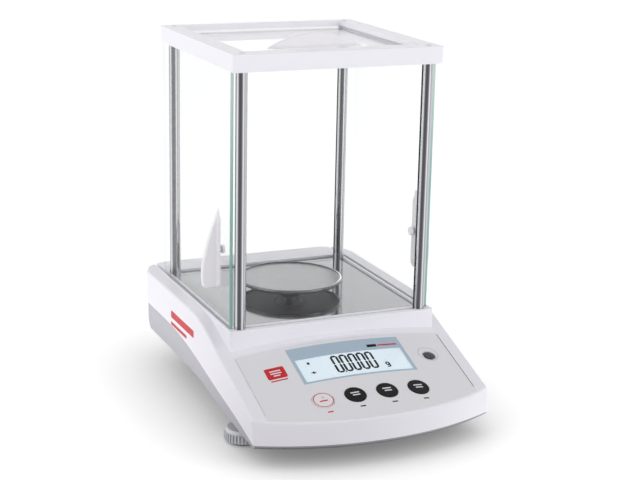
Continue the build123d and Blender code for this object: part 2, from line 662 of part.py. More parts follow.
with BuildPart() as coil_lever:
    with BuildSketch(Plane.XY.offset(BASE_FLOOR_Z + 24)):
        with Locations((0, COIL_Y)):
            Circle(12.5)
        with Locations((0, 7)):
            Rectangle(12, 20)
    extrude(amount=4)
save(coil_lever.part, "coil_lever")

with BuildPart() as weighing_hook:
    with Locations((0, PAN_Y, BASE_FLOOR_Z + 24)):
        Cylinder(2.4, 14, align=HANGING)
    with Locations((0, PAN_Y, BASE_FLOOR_Z + 6)):
        Torus(5.0, 1.6, rotation=(90, 0, 0))
save(weighing_hook.part, "weighing_hook")

with BuildPart() as hook_cover:
    with BuildSketch(Plane.XY.offset(BELLY_Z - 0.3)):
        with Locations((0, PAN_Y)):
            Circle(HOOK_HOLE_RADIUS + 3)
        with Locations((0, PAN_Y + COVER_PIVOT)):
            Circle(5)
        with Locations((0, PAN_Y + COVER_PIVOT / 2)):
            Rectangle(9, COVER_PIVOT)
        with Locations((0, PAN_Y + COVER_PIVOT)):
            Circle(2.06, mode=Mode.SUBTRACT)
    extrude(amount=-2.0)
save(hook_cover.part, "hook_cover")

with BuildPart() as cover_screw:
    with Locations((0, PAN_Y + COVER_PIVOT, BELLY_Z)):
        Cylinder(2.0, 2.6, align=HANGING)
    with Locations((0, PAN_Y + COVER_PIVOT, BELLY_Z - 2.6)):
        Cylinder(3.6, 1.6, align=HANGING)
    with Locations((0, PAN_Y + COVER_PIVOT, BELLY_Z - 4.2)):
        Box(5, 0.8, 1.4, mode=Mode.SUBTRACT)
save(cover_screw.part, "cover_screw")

with BuildPart() as main_board:
    with Locations((MAIN_BOARD_X, MAIN_BOARD_Y, BASE_FLOOR_Z + 6)):
        Box(56, 116, 1.6, align=STANDING)
    with Locations([(MAIN_BOARD_X + dx, MAIN_BOARD_Y + dy, BASE_FLOOR_Z + 7.6) for dx, dy in CHIPS]):
        Box(12, 14, 2.4, align=STANDING)
    with Locations([(MAIN_BOARD_X + 18, 90, BASE_FLOOR_Z + 7.6), (MAIN_BOARD_X + 4, 92, BASE_FLOOR_Z + 7.6)]):
        Cylinder(4.5, 11, align=STANDING)
save(main_board.part, "main_board")

with BuildPart() as board_standoffs:
    with Locations([(MAIN_BOARD_X + sx * 23, MAIN_BOARD_Y + sy * 53, BASE_FLOOR_Z)
                    for sx in (-1, 1) for sy in (-1, 1)]):
        Cylinder(3.0, 6, align=STANDING)
save(board_standoffs.part, "board_standoffs")

ribbon_start = board_plane.from_local_coords(Vector(0, BOARD_HALF_LENGTH + 0.8, -0.8))
with BuildPart() as ribbon_cable:
    with BuildSketch(Plane.YZ.offset(MAIN_BOARD_X)):
        with BuildLine():
            FilletPolyline((ribbon_start.Y, ribbon_start.Z), (-57, 50.5), (-24, 48), (-12, 40.1), (-1, 40.1),
                           radius=4.0)
            offset(amount=0.4, side=Side.BOTH)
        make_face()
    extrude(amount=9, both=True)
save(ribbon_cable.part, "ribbon_cable")

with BuildPart() as power_socket:
    with Locations((POWER_X, REAR_Y - WALL - 0.3, PORT_Z)):
        Box(11, 12, 12, align=(Align.CENTER, Align.MAX, Align.CENTER))
        Cylinder(5.3, 2.4, rotation=(90, 0, 0), align=HANGING)
    with Locations((POWER_X, REAR_Y, PORT_Z)):
        Cylinder(3.1, 24, rotation=(90, 0, 0), mode=Mode.SUBTRACT)
    with Locations((POWER_X, REAR_Y - 14.8, PORT_Z)):
        Box(9, 2, 9)
        Cylinder(1.0, 11, rotation=(90, 0, 0), align=HANGING)
save(power_socket.part, "power_socket")

with BuildPart() as serial_port:
    with Locations((SERIAL_X, REAR_Y - 0.2, PORT_Z)):
        Box(31, 1.0, 12.4, align=(Align.CENTER, Align.MAX, Align.CENTER))
        Box(24, 14, 10.4, align=(Align.CENTER, Align.MAX, Align.CENTER))
    with Locations((SERIAL_X, REAR_Y, PORT_Z)):
        Box(17, 8, 8, mode=Mode.SUBTRACT)
    with Locations([(SERIAL_X + (i - 2) * 2.8, REAR_Y - 3, PORT_Z + 1.5) for i in range(5)]
                   + [(SERIAL_X + (i - 1.5) * 2.8, REAR_Y - 3, PORT_Z - 1.5) for i in range(4)]):
        Cylinder(0.6, 3.4, rotation=(90, 0, 0))
save(serial_port.part, "serial_port")

with BuildPart() as data_plate:
    with Locations((PLATE_LABEL_X, REAR_Y - 0.1, PORT_Z)):
        Box(55, 0.5, 15, align=(Align.CENTER, Align.MAX, Align.CENTER))
save(data_plate.part, "data_plate")

# ---------------------------------------------------------------- pan
with BuildPart() as pan:
    with BuildSketch(Plane.XZ.offset(-PAN_Y)):
        with BuildLine():
            Polyline((0, PAN_TOP - 1.2), (42.2, PAN_TOP - 1.2), (43.0, PAN_TOP - 0.3), (43.8, PAN_TOP))
            ThreePointArc((43.8, PAN_TOP), (PAN_RADIUS - 0.1, PAN_TOP - 0.9), (PAN_RADIUS, PAN_TOP - 2.4))
            Polyline((PAN_RADIUS, PAN_TOP - 2.4), (44.3, PAN_TOP - 3.8), (43.3, PAN_TOP - 4.0),
                     (42.4, PAN_TOP - 2.6), (0, PAN_TOP - 2.6), (0, PAN_TOP - 1.2))
        make_face()
    revolve(axis=Axis((0, PAN_Y, 0), (0, 0, 1)))
save(pan.part, "pan")

with BuildPart() as pan_hub:
    with Locations((0, PAN_Y, PAN_TOP - 2.6)):
        Cylinder(8.0, 5.6, align=HANGING)
        Cylinder(14.0, 1.2, align=HANGING)
    with Locations((0, PAN_Y, 70)):
        Cylinder(SPINDLE_RADIUS + 0.06, 2 * (SPINDLE_TOP_Z - 70), mode=Mode.SUBTRACT)
save(pan_hub.part, "pan_hub")

# ---------------------------------------------------------------- feet
for side, sx in (("left", -1), ("right", 1)):
    with BuildPart() as wheel:
        with Locations((sx * FOOT_X, FOOT_Y, WHEEL_BOTTOM_Z)):
            Cylinder(FOOT_RADIUS, WHEEL_THICK, align=STANDING)
        fillet(wheel.edges().filter_by(GeomType.CIRCLE), 1.0)
        with Locations((sx * FOOT_X, FOOT_Y, WHEEL_BOTTOM_Z + WHEEL_THICK / 2)):
            with PolarLocations(FOOT_RADIUS + 0.15, WHEEL_GROOVES):
                Cylinder(0.75, WHEEL_THICK, mode=Mode.SUBTRACT)
        with Locations((sx * FOOT_X, FOOT_Y, WHEEL_BOTTOM_Z + WHEEL_THICK)):
            Cylinder(STEM_RADIUS, 24, align=STANDING)
    save(wheel.part, f"{side}_levelling_wheel")
    with BuildPart() as pad:
        with Locations((sx * FOOT_X, FOOT_Y, 0)):
            Cylinder(11.5, WHEEL_BOTTOM_Z, align=STANDING)
        fillet(pad.edges().group_by(Axis.Z)[0], 0.6)
    save(pad.part, f"{side}_foot_pad")

with BuildPart() as rear_feet:
    with Locations([(sx * REAR_FOOT_X, REAR_FOOT_Y, 0) for sx in (-1, 1)]):
        Cone(9.0, 11.0, BELLY_Z, align=STANDING)
    fillet(rear_feet.edges().group_by(Axis.Z)[0], 1.0)
save(rear_feet.part, "rear_feet")
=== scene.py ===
"""Looks of the analytical balance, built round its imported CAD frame. Metres, +Z up, the front faces -Y."""
import json
from math import atan, cos, pi, sin

import bmesh
import bpy
from mathutils import Matrix, Vector
from mathutils.bvhtree import BVHTree


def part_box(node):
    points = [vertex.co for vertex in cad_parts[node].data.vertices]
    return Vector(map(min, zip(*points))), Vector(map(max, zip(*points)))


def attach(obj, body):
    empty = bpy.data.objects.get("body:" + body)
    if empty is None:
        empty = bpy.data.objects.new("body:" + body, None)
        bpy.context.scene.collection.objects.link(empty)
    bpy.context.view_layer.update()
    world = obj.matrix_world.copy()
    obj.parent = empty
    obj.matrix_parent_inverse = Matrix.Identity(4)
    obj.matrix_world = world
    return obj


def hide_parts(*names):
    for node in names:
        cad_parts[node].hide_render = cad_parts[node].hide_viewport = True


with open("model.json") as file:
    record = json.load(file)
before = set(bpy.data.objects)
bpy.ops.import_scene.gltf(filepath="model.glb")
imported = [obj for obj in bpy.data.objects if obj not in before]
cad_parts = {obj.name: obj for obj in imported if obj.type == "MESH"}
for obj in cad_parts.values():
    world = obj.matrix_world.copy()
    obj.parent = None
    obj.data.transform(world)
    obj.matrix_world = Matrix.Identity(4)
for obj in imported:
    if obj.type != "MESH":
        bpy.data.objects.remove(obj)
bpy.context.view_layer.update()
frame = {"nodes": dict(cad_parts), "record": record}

NODES = frame["nodes"]
MM = 0.001

# ---------------------------------------------------------------- places, from the frame
LCD_LOW, LCD_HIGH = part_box("display_window")
BEZEL_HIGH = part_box("display_bezel")[1]
OVERLAY_LOW, OVERLAY_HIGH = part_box("console_overlay")
PAN_LOW, PAN_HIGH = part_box("pan")
KEYS = ("on_key", "print_key", "function_key", "tare_key")
CONSOLE_SLOPE = atan(0.345)
CONSOLE_UP = Vector((0, -sin(CONSOLE_SLOPE), cos(CONSOLE_SLOPE)))
DOWN = Vector((0, 0, -1))
INWARD = Vector((1, 0, 0))
FRONT_LEFT = (-0.5, -0.86, 0)
INK = 0.05 * MM


# ---------------------------------------------------------------- nodes
def feed(tree, value, socket):
    """Links an output to a socket, or gives the socket a constant."""
    if isinstance(value, bpy.types.NodeSocket):
        tree.links.new(value, socket)
    else:
        socket.default_value = value


def coordinate(tree, kind):
    return tree.nodes.new("ShaderNodeTexCoord").outputs[kind]


def arithmetic(tree, operation, first, second):
    node = tree.nodes.new("ShaderNodeMath")
    node.operation = operation
    feed(tree, first, node.inputs[0])
    feed(tree, second, node.inputs[1])
    return node.outputs["Value"]


def vector_arithmetic(tree, operation, first, second=None):
    """Arithmetic on vectors. A dot product and a length come out as plain values."""
    node = tree.nodes.new("ShaderNodeVectorMath")
    node.operation = operation
    feed(tree, first, node.inputs[0])
    if second is not None:
        feed(tree, second, node.inputs["Scale" if operation == "SCALE" else 1])
    return node.outputs["Value" if operation in ("DOT_PRODUCT", "LENGTH") else "Vector"]


def component(tree, vector, axis):
    node = tree.nodes.new("ShaderNodeSeparateXYZ")
    tree.links.new(vector, node.inputs["Vector"])
    return node.outputs[axis]


def remap(tree, value, source=(0, 1), target=(0, 1)):
    """Maps a value from one range to another, and clamps it."""
    node = tree.nodes.new("ShaderNodeMapRange")
    node.inputs["From Min"].default_value, node.inputs["From Max"].default_value = source
    node.inputs["To Min"].default_value, node.inputs["To Max"].default_value = target
    tree.links.new(value, node.inputs["Value"])
    return node.outputs["Result"]


def blend(tree, kind, factor, first, second):
    """Mix of two values (FLOAT) or two colours (RGBA)."""
    node = tree.nodes.new("ShaderNodeMix")
    node.data_type = kind
    socket_type = "VALUE" if kind == "FLOAT" else "RGBA"
    ends = [s for s in node.inputs if s.type == socket_type and s.enabled][-2:]
    tree.links.new(factor, node.inputs[0])
    feed(tree, first, ends[0])
    feed(tree, second, ends[1])
    return next(s for s in node.outputs if s.type == socket_type and s.enabled)


def mixed_shader(tree, factor, first, second):
    node = tree.nodes.new("ShaderNodeMixShader")
    tree.links.new(factor, node.inputs["Fac"])
    tree.links.new(first, node.inputs[1])
    tree.links.new(second, node.inputs[2])
    return node.outputs["Shader"]


def noise(tree, vector, scale, detail=2.0):
    node = tree.nodes.new("ShaderNodeTexNoise")
    node.inputs["Scale"].default_value = scale
    node.inputs["Detail"].default_value = detail
    tree.links.new(vector, node.inputs["Vector"])
    return node.outputs["Fac"]


def uneven(tree, value, low, high):
    """Noise, which stays near its middle, spread over the range low to high."""
    return remap(tree, value, (0.3, 0.7), (low, high))


# ---------------------------------------------------------------- materials
def linear(red, green, blue):
    """Scene-linear colour of an 8-bit display colour."""
    def channel(value):
        value /= 255
        return value / 12.92 if value <= 0.04045 else ((value + 0.055) / 1.055) ** 2.4
    return channel(red), channel(green), channel(blue), 1.0


def new_material(name):
    mat = bpy.data.materials.new(name)
    mat.use_nodes = True
    return mat, mat.node_tree, mat.node_tree.nodes["Principled BSDF"]


def colour_drift(tree, factor, colour, spread):
    """Blend of a slightly darker and a slightly lighter version of one colour."""
    darker = [c * (1 - spread) for c in colour[:3]] + [1]
    lighter = [min(1, c * (1 + spread)) for c in colour[:3]] + [1]
    return blend(tree, "RGBA", factor, darker, lighter)


def grey_ramp(tree, value, tones):
    """Ramp of greys. A tone holds its place, its 8-bit red and green, and its 8-bit blue."""
    node = tree.nodes.new("ShaderNodeValToRGB")
    stops = node.color_ramp.elements
    for stop, (place, grey, blue) in zip(stops, (tones[0], tones[-1])):
        stop.position = place
        stop.color = linear(grey, grey, blue)
    for place, grey, blue in tones[1:-1]:
        stops.new(place).color = linear(grey, grey, blue)
    tree.links.new(value, node.inputs["Fac"])
    return node.outputs["Color"]


def surface(name, colour, roughness, spread=0.03, gloss_spread=0.05, grain=1800.0, depth=0.12,
            stretch=(1, 1, 1), drift=22.0, painted_shade=None, **sockets):
    """Principled material whose colour drifts, whose gloss is uneven and whose surface has a fine grain.
    A painted shade, given as a reach and a darkest tone, darkens its colour by ambient occlusion in hollows
    and near other things."""
    mat, tree, shader = new_material(name)
    place = coordinate(tree, "Object")
    mapping = tree.nodes.new("ShaderNodeMapping")
    mapping.inputs["Scale"].default_value = stretch
    tree.links.new(place, mapping.inputs["Vector"])
    grained = mapping.outputs["Vector"]
    tint = colour_drift(tree, noise(tree, place, drift, 3.0), colour, spread)
    if painted_shade:
        reach, darkest = painted_shade
        # Painted shade: ambient occlusion darkens the colour in hollows and near other things.
        occlusion = tree.nodes.new("ShaderNodeAmbientOcclusion")
        occlusion.inputs["Distance"].default_value = reach
        tint = vector_arithmetic(tree, "SCALE", tint, remap(tree, occlusion.outputs["AO"], target=(darkest, 1)))
    tree.links.new(tint, shader.inputs["Base Color"])
    patchy = noise(tree, grained, drift * 7, 4.0)
    gloss = uneven(tree, patchy, roughness - gloss_spread, roughness + gloss_spread)
    tree.links.new(gloss, shader.inputs["Roughness"])
    bump = tree.nodes.new("ShaderNodeBump")
    bump.inputs["Strength"].default_value = depth
    bump.inputs["Distance"].default_value = 0.1 * MM
    tree.links.new(noise(tree, grained, grain), bump.inputs["Height"])
    tree.links.new(bump.outputs["Normal"], shader.inputs["Normal"])
    for socket, value in sockets.items():
        shader.inputs[socket.replace("_", " ")].default_value = value
    return mat


# Painted reflection: grey tones of the bright and dark rings on the pan's polished lip, from its inner to its
# outer edge.
PAN_LIP = 2.7 * MM
LIP_REFLECTION_BANDS = ((0.0, 70, 72), (0.22, 84, 86), (0.4, 206, 208), (0.68, 214, 216), (0.86, 112, 114),
             (1.0, 104, 107))


def pan_steel_painted_reflections(name):
    """Finely brushed disc with a polished lip. The lip's bright and dark rings are painted reflections."""
    mat = surface(name, linear(164, 164, 166), 0.36, spread=0.02, grain=900.0, depth=0.06, Metallic=1.0)
    tree = mat.node_tree
    shader = tree.nodes["Principled BSDF"]
    centre = (PAN_LOW + PAN_HIGH) / 2
    lip_start = (PAN_HIGH.x - PAN_LOW.x) / 2 - PAN_LIP
    offset = vector_arithmetic(tree, "SUBTRACT", coordinate(tree, "Object"), (centre.x, centre.y, 0))
    radius = vector_arithmetic(tree, "LENGTH", vector_arithmetic(tree, "MULTIPLY", offset, (1, 1, 0)))
    on_lip = remap(tree, radius, (lip_start - 0.1 * MM, lip_start + 0.1 * MM))
    painted_reflections = grey_ramp(tree, remap(tree, radius, (lip_start, lip_start + PAN_LIP)), LIP_REFLECTION_BANDS)
    for socket, kind, polished in (("Roughness", "FLOAT", 0.07), ("Base Color", "RGBA", painted_reflections)):
        brushed = shader.inputs[socket].links[0].from_socket
        tree.links.new(blend(tree, kind, on_lip, brushed, polished), shader.inputs[socket])
    return mat


# Painted reflection: grey tones of the upright bands on the chrome posts, and the direction they are laid out
# by.
POST_REFLECTION_BANDS = ((0.0, 150, 154), (0.10, 188, 190), (0.22, 236, 238), (0.31, 112, 114), (0.42, 82, 84),
              (0.55, 96, 98), (0.63, 150, 152), (0.69, 240, 242), (0.80, 168, 170), (0.92, 214, 216),
              (1.0, 186, 190))
REFLECTION_BAND_TURN = (0.915, -0.404, 0)


def chrome_painted_reflections(name):
    """Polished tube. Its upright bands are painted reflections, set by the way the surface faces and laid out
    for the main view."""
    mat = surface(name, linear(236, 236, 239), 0.06, spread=0.02, gloss_spread=0.02, grain=900.0, depth=0.01,
                  Metallic=1.0)
    tree = mat.node_tree
    base = tree.nodes["Principled BSDF"].inputs["Base Color"]
    reflection_facing = vector_arithmetic(tree, "DOT_PRODUCT", coordinate(tree, "Normal"), REFLECTION_BAND_TURN)
    painted_reflections = grey_ramp(tree, remap(tree, reflection_facing, (-1, 1)), POST_REFLECTION_BANDS)
    tree.links.new(vector_arithmetic(tree, "MULTIPLY", base.links[0].from_socket, painted_reflections), base)
    return mat


def thin_pane(tree, place, tint):
    """Glass that lets light straight through and mirrors more the flatter it is seen."""
    see_through = tree.nodes.new("ShaderNodeBsdfTransparent")
    see_through.inputs["Color"].default_value = tint
    gloss = tree.nodes.new("ShaderNodeBsdfGlossy")
    tree.links.new(uneven(tree, noise(tree, place, 60.0), 0.01, 0.03), gloss.inputs["Roughness"])
    weight = tree.nodes.new("ShaderNodeLayerWeight")
    weight.inputs["Blend"].default_value = 0.5
    grazing = arithmetic(tree, "POWER", weight.outputs["Facing"], 6.0)
    mirror = remap(tree, grazing, target=(0.025, 0.6))
    return mixed_shader(tree, mirror, see_through.outputs["BSDF"], gloss.outputs["BSDF"])


EDGE_GREEN = linear(140, 190, 180)
EDGE_PALE = linear(206, 228, 222)
EDGE_FADE = (190 * MM, 300 * MM)


def cut_edge(tree, shader, place, normal, faces_axis):
    """Sea green of the cut edges, pale near the top, and thin on edges that don't face the front."""
    shader.inputs["Roughness"].default_value = 0.25
    green = colour_drift(tree, noise(tree, place, 14.0), EDGE_GREEN, 0.12)
    rise = remap(tree, component(tree, place, "Z"), EDGE_FADE)
    tree.links.new(blend(tree, "RGBA", rise, green, EDGE_PALE), shader.inputs["Base Color"])
    front_density = 0.95 if faces_axis == "X" else 0.3
    density = remap(tree, component(tree, normal, "Y"), (0.5, -0.5), (0.25, front_density))
    backfacing = tree.nodes.new("ShaderNodeNewGeometry").outputs["Backfacing"]
    outside = remap(tree, backfacing, target=(1.0, 0.12))
    tree.links.new(arithmetic(tree, "MULTIPLY", density, outside), shader.inputs["Alpha"])


def clear(name, tint, faces_axis=None):
    """Clear glass. With the axis that its faces look along, the other sides show as cut edges."""
    mat, tree, edge_shader = new_material(name)
    coordinates = tree.nodes.new("ShaderNodeTexCoord").outputs
    place, normal = coordinates["Object"], coordinates["Normal"]
    whole = thin_pane(tree, place, tint)
    if faces_axis is None:
        tree.nodes.remove(edge_shader)
    else:
        cut_edge(tree, edge_shader, place, normal, faces_axis)
        size = arithmetic(tree, "ABSOLUTE", component(tree, normal, faces_axis), 0.0)
        is_cut = arithmetic(tree, "LESS_THAN", size, 0.9)
        whole = mixed_shader(tree, is_cut, whole, edge_shader.outputs["BSDF"])
    tree.links.new(whole, tree.nodes["Material Output"].inputs["Surface"])
    return mat


SURFACES = {
    "white_plastic": surface("white_plastic", linear(242, 240, 247), 0.38, spread=0.012, depth=0.08),
    "handle_plastic": surface("handle_plastic", linear(246, 244, 248), 0.42, spread=0.015, depth=0.08),
    # Painted shade: ambient occlusion darkens the base's colour in its hollows and near the floor.
    "grey_base": surface("grey_base", linear(190, 189, 197), 0.5, spread=0.03, grain=1400.0, depth=0.25,
                         painted_shade=(45 * MM, 0.32)),
    "overlay": surface("overlay", linear(231, 231, 235), 0.5, spread=0.01, grain=2600.0, depth=0.12),
    "bezel": surface("bezel", linear(174, 193, 209), 0.42, spread=0.03, grain=2600.0, depth=0.08),
    "lcd": surface("lcd", linear(226, 238, 244), 0.3, spread=0.01, depth=0.02,
                   Emission_Color=linear(226, 240, 248), Emission_Strength=0.3),
    "black_key": surface("black_key", linear(20, 20, 22), 0.5, spread=0.15, grain=2400.0, depth=0.2,
                         Specular_IOR_Level=0.25),
    "white_key": surface("white_key", linear(236, 232, 237), 0.42, spread=0.015, depth=0.1),
    "steel": surface("steel", linear(146, 147, 150), 0.08, spread=0.015, gloss_spread=0.02, grain=700.0,
                     depth=0.01, Metallic=1.0),
    # The pan's lip and the chrome posts carry painted reflections.
    "pan": pan_steel_painted_reflections("pan_steel_painted_reflections"),
    "chrome": chrome_painted_reflections("chrome"),
    "screw_steel": surface("screw_steel", linear(200, 200, 204), 0.3, spread=0.06, grain=1500.0, depth=0.15,
                           Metallic=1.0),
    "rubber": surface("rubber", linear(48, 48, 50), 0.7, spread=0.12, grain=1300.0, depth=0.4),
    "socket_black": surface("socket_black", linear(40, 40, 44), 0.5, spread=0.12, depth=0.2),
    "board": surface("board", linear(38, 96, 62), 0.4, spread=0.15, drift=160.0, depth=0.1),
    "aluminium": surface("aluminium", linear(190, 192, 196), 0.35, spread=0.04, stretch=(1, 8, 8),
                         grain=500.0, depth=0.15, Metallic=1.0),
    "iron": surface("iron", linear(96, 96, 100), 0.45, spread=0.12, depth=0.25, Metallic=1.0),
    "copper": surface("copper", linear(196, 120, 78), 0.3, spread=0.1, stretch=(1, 1, 14), grain=900.0,
                      depth=0.3, Metallic=1.0),
    "ribbon": surface("ribbon", linear(176, 178, 184), 0.4, spread=0.08, stretch=(30, 1, 1), depth=0.3),
    "label": surface("label", linear(206, 208, 212), 0.35, spread=0.04, stretch=(1, 1, 12), depth=0.1,
                     Metallic=0.6),
    # Painted shade: ambient occlusion darkens the wheel's colour between its ribs.
    "wheel_plastic": surface("wheel_plastic", linear(212, 214, 220), 0.45, spread=0.04, depth=0.2,
                             painted_shade=(2.5 * MM, 0.35)),
    "vial": surface("vial", linear(96, 98, 101), 0.08, spread=0.05, gloss_spread=0.02, depth=0.01,
                    Transmission_Weight=0.4),
    "window": clear("window", (0.99, 0.995, 1.0, 1.0)),
    "glass_x": clear("glass_x", (0.996, 0.999, 0.998, 1.0), "X"),
    "glass_y": clear("glass_y", (0.996, 0.999, 0.998, 1.0), "Y"),
    "glass_z": clear("glass_z", (0.996, 0.999, 0.998, 1.0), "Z"),
    "red_ink": surface("red_ink", linear(205, 22, 36), 0.45, spread=0.05, depth=0.05),
    "dark_ink": surface("dark_ink", linear(20, 20, 24), 0.5, spread=0.1, depth=0.05, Specular_IOR_Level=0.2),
    "pink_ink": surface("pink_ink", linear(196, 178, 188), 0.45, spread=0.05, depth=0.05),
    "white_ink": surface("white_ink", linear(232, 232, 236), 0.45, spread=0.03, depth=0.05),
}
OWN_MATERIAL = {"front_glass": "glass_y", "rear_glass": "glass_y", "left_door_glass": "glass_x",
                "right_door_glass": "glass_x", "top_door_glass": "glass_z", "pan": "pan",
                "left_handle_screw": "handle_plastic", "right_handle_screw": "handle_plastic"}


def dress(node, material):
    """Gives a CAD node its material in every slot."""
    slots = NODES[node].material_slots
    for slot in slots:
        slot.material = SURFACES[material]
    if not slots:
        NODES[node].data.materials.append(SURFACES[material])


def dress_all():
    """Materials go by the record's slots, but for the nodes that have one of their own."""
    for part in frame["record"]["subparts"]:
        dress(part["node"], OWN_MATERIAL.get(part["node"], part["material_slot"]))


# ---------------------------------------------------------------- printed marks
def skin(node):
    """The CAD node's surface, ready for rays."""
    mesh = NODES[node].data
    points = [vertex.co.copy() for vertex in mesh.vertices]
    return BVHTree.FromPolygons(points, [list(polygon.vertices) for polygon in mesh.polygons])


def add_piece(name, mesh, material, body):
    """Turns a mesh into a piece that rides a body."""
    data = bpy.data.meshes.new(name)
    mesh.to_mesh(data)
    mesh.free()
    piece = bpy.data.objects.new(name, data)
    bpy.context.scene.collection.objects.link(piece)
    data.materials.append(SURFACES[material])
    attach(piece, body)
    return piece


def printed(name, outlines, target, material, body="housing", inward=DOWN, reach=2.0 * MM,
            base=0.2 * INK, height=INK):
    """A thin layer from base to height over a CAD surface, or under it where they are negative. The outlines
    are in X and Y, or in Y and Z for a side. Edges longer than reach are divided, to follow the surface."""
    away = 0.2
    mesh = bmesh.new()
    for outline in outlines:
        if inward == DOWN:
            spots = [mesh.verts.new((u, v, away)) for u, v in outline]
        else:
            spots = [mesh.verts.new((-away * inward.x, u, v)) for u, v in outline]
        mesh.faces.new(spots)
    bmesh.ops.remove_doubles(mesh, verts=mesh.verts[:], dist=1e-6)
    bmesh.ops.triangulate(mesh, faces=mesh.faces[:])
    for _ in range(6):
        long_edges = [e for e in mesh.edges if e.calc_length() > reach]
        if not long_edges:
            break
        bmesh.ops.subdivide_edges(mesh, edges=long_edges, cuts=1)
        bmesh.ops.triangulate(mesh, faces=mesh.faces[:])
    originals = mesh.verts[:]
    faces = mesh.faces[:]
    pair = {}
    for vertex in originals:
        hit, normal, _, _ = target.ray_cast(vertex.co, inward)
        vertex.co = hit + normal * base
        pair[vertex] = mesh.verts.new(hit + normal * height)
    rims = [e for e in mesh.edges if len(e.link_faces) == 1]
    for face in faces:
        mesh.faces.new([pair[v] for v in face.verts])
    for edge in rims:
        a, b = edge.verts
        mesh.faces.new((a, b, pair[b], pair[a]))
    bmesh.ops.recalc_face_normals(mesh, faces=mesh.faces[:])
    return add_piece(name, mesh, material, body)


def bar(x, y, width, height):
    """Rectangle centred on x, y."""
    return [(x - width / 2, y - height / 2), (x + width / 2, y - height / 2),
            (x + width / 2, y + height / 2), (x - width / 2, y + height / 2)]


def rounded(x, y, width, height, radius, steps=6):
    """Rectangle with round corners, centred on x, y."""
    outline = []
    for corner, (sx, sy) in enumerate(((1, 1), (-1, 1), (-1, -1), (1, -1))):
        for step in range(steps + 1):
            angle = (corner + step / steps) * pi / 2
            outline.append((x + sx * (width / 2 - radius) + radius * cos(angle),
                            y + sy * (height / 2 - radius) + radius * sin(angle)))
    return outline


def ring(x, y, inner, outer, stretch=1.0, steps=48):
    """Ring as a loop of four-sided faces. stretch squeezes it along Y, to look round on the slope."""
    spots = [(cos(2 * pi * i / steps), sin(2 * pi * i / steps)) for i in range(steps + 1)]
    return [[(x + inner * a, y + inner * b * stretch), (x + outer * a, y + outer * b * stretch),
             (x + outer * c, y + outer * d * stretch), (x + inner * c, y + inner * d * stretch)]
            for (a, b), (c, d) in zip(spots, spots[1:])]


def segment(x0, y0, x1, y1, stroke):
    """One bar of a digit, pointed at both ends, along X or along Y."""
    half = stroke / 2
    if x0 == x1:
        return [(x0, y0), (x0 + half, y0 + half), (x0 + half, y1 - half),
                (x0, y1), (x0 - half, y1 - half), (x0 - half, y0 + half)]
    return [(x0, y0), (x0 + half, y0 - half), (x1 - half, y0 - half),
            (x1, y0), (x1 - half, y0 + half), (x0 + half, y0 + half)]


def zero(x, y, width, height, stroke, gap):
    """Digit 0 of a seven-segment display, lower left corner at x, y."""
    top, centre, right = y + height, y + height / 2, x + width
    sides = [segment(side, a + gap, side, b - gap, stroke)
             for side in (x, right) for a, b in ((y, centre), (centre, top))]
    return sides + [segment(x + gap, level, right - gap, level, stroke) for level in (y, top)]


def display():
    """Lit panel just under the window, with the reading 0.0000 g and two small symbols on it."""
    face = skin("display_window")
    under, over = -0.60 * MM, -0.55 * MM
    centre, size, rim = (LCD_LOW + LCD_HIGH) / 2, LCD_HIGH - LCD_LOW, 0.3 * MM
    panel = [bar(centre.x, centre.y, size.x - rim, size.y - rim)]
    glow = printed("display_panel", panel, face, "lcd", reach=4 * MM, base=-0.95 * MM, height=under)
    width, height, pitch, stroke = 4.7 * MM, 18.4 * MM, 7.5 * MM, 1.9 * MM
    left, low = LCD_LOW.x + 30.1 * MM, LCD_LOW.y + 5.6 * MM
    outlines = []
    for index in range(5):
        outlines += zero(left + index * pitch, low, width, height, stroke, 0.05 * MM)
    outlines.append(bar(left + pitch - (pitch - width) / 2, low - 0.4 * MM, 1.3 * MM, 1.5 * MM))
    printed("display_digits", outlines, face, "dark_ink", reach=6 * MM, base=under, height=over)
    unit_x, unit_y = left + 5 * pitch + 6.4 * MM, low + 3.2 * MM
    unit = ring(unit_x, unit_y, 0.7 * MM, 1.8 * MM, 1.25, 20)
    unit += [bar(unit_x + 1.5 * MM, unit_y - 1.3 * MM, 1.1 * MM, 5.0 * MM)]
    unit += [bar(unit_x + 0.1 * MM, unit_y - 3.5 * MM, 2.8 * MM, 1.1 * MM)]
    printed("display_unit", unit, face, "dark_ink", reach=6 * MM, base=under, height=over)
    mark_x, mark_y = LCD_LOW.x + 9.6 * MM, LCD_HIGH.y - 5.6 * MM
    printed("stability_mark", [rounded(mark_x, mark_y, 2.2 * MM, 2.6 * MM, 0.5 * MM)], face, "dark_ink",
            reach=6 * MM, base=under, height=over)
    centre_mark = [bar(mark_x + 0.4 * MM, mark_y - 11.1 * MM, 4.4 * MM, 0.8 * MM),
                   bar(mark_x + 0.4 * MM, mark_y - 11.1 * MM, 1.3 * MM, 2.6 * MM)]
    printed("centre_mark", centre_mark, face, "dark_ink", reach=6 * MM, base=under, height=over)


def bezel_marks():
    """Two plain bars at the display's upper right corner."""
    face = skin("display_bezel")
    y = (LCD_HIGH.y + BEZEL_HIGH.y) / 2 - 2.2 * MM
    right = LCD_HIGH.x - 1.0 * MM
    printed("bezel_dark_bar", [bar(right - 22.5 * MM, y, 8.5 * MM, 3.2 * MM)], face, "dark_ink")
    printed("bezel_red_bar", [bar(right - 8.6 * MM, y, 17.0 * MM, 1.6 * MM)], face, "red_ink")


